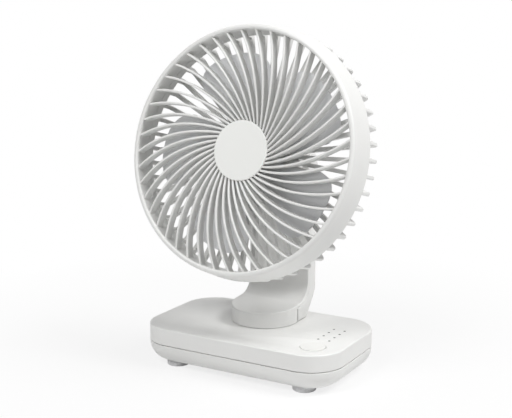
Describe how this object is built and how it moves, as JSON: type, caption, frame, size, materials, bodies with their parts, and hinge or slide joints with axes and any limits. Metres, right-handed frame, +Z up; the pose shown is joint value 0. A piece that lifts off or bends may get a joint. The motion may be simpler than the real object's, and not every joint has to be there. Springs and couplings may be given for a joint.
{
  "type": "desk fan",
  "caption": "White rechargeable desk fan: round head with spiral front guard and finned rear guard, tilting on a scooped arm that swivels on a low rounded base.",
  "frame": {"origin": "on the floor under the head's axis, at the middle of the base's depth", "axes": "+Z up, the fan blows along -Y, +X is the fan's left side as it faces, where the button is"},
  "size_m": [0.1748, 0.0909, 0.2379],
  "materials": {
    "shell_white": "satin",
    "guard_white": "satin",
    "hub_white": "satin",
    "blade_white": "satin",
    "button_white": "satin",
    "clear_plastic": "gloss",
    "foot_rubber": "matte",
    "screw_steel": "satin",
    "ballast_steel": "matte",
    "cell_sleeve": "gloss",
    "nickel": "satin",
    "board_green": "satin",
    "lamp": "gloss",
    "socket_metal": "satin",
    "switch_black": "satin",
    "slide_plastic": "satin",
    "inner_plastic": "satin",
    "copper_wire": "gloss",
    "core_steel": "satin",
    "magnet": "matte",
    "bearing_bronze": "satin"
  },
  "bodies": {
    "base": {"base_top_cover": "shell_white", "base_bottom_cover": "shell_white", "rubber_feet": "foot_rubber", "base_screws": "screw_steel", "ballast_plate": "ballast_steel", "battery_cells": "cell_sleeve", "battery_cradle": "inner_plastic", "cell_straps": "nickel", "control_board": "board_green", "board_screws": "screw_steel", "indicator_leds": "lamp", "light_guide": "clear_plastic", "charge_socket": "socket_metal", "tact_switch": "switch_black", "thrust_washer": "slide_plastic"},
    "button": {"power_button": "button_white", "switch_plunger": "switch_black"},
    "arm": {"swivel_spindle": "inner_plastic", "spindle_screws": "screw_steel", "friction_washer": "slide_plastic", "spindle_retainer": "inner_plastic", "arm_front_cover": "shell_white", "arm_rear_cover": "shell_white", "arm_screws": "screw_steel", "tilt_pin": "screw_steel", "tilt_washers": "slide_plastic", "hinge_caps": "shell_white"},
    "head": {"front_grille": "guard_white", "hub_cap": "hub_white", "rear_grille": "guard_white", "guard_screw": "screw_steel", "motor_base": "inner_plastic", "motor_screws": "screw_steel", "front_bearing": "bearing_bronze", "rear_bearing": "bearing_bronze", "stator_core": "core_steel", "stator_windings": "copper_wire", "motor_board": "board_green", "motor_housing": "shell_white", "housing_screws": "screw_steel"},
    "rotor": {"fan_blades": "blade_white", "rotor_cup": "core_steel", "magnet_ring": "magnet", "motor_shaft": "screw_steel", "shaft_clip": "screw_steel"}
  },
  "joints": [
    {"name": "swivel", "type": "hinge", "parent": "base", "child": "arm", "pos_m": [0, 0.0125, 0.0298], "axis": [0, 0, 1], "range_deg": [-45, 45]},
    {"name": "head_tilt", "type": "hinge", "parent": "arm", "child": "head", "pos_m": [0, 0.03765, 0.1405], "axis": [-1, 0, 0], "range_deg": [-19, 66]},
    {"name": "rotor_spin", "type": "hinge", "parent": "head", "child": "rotor", "pos_m": [0, -0.02319, 0.15567], "axis": [0, -0.9703, 0.2419], "continuous": true},
    {"name": "button_press", "type": "slide", "parent": "base", "child": "button", "axis": [0, 0, -1], "range_m": [0, 0.0006], "stiffness_N_per_m": 1800, "springref_m": -0.0004}
  ]
}
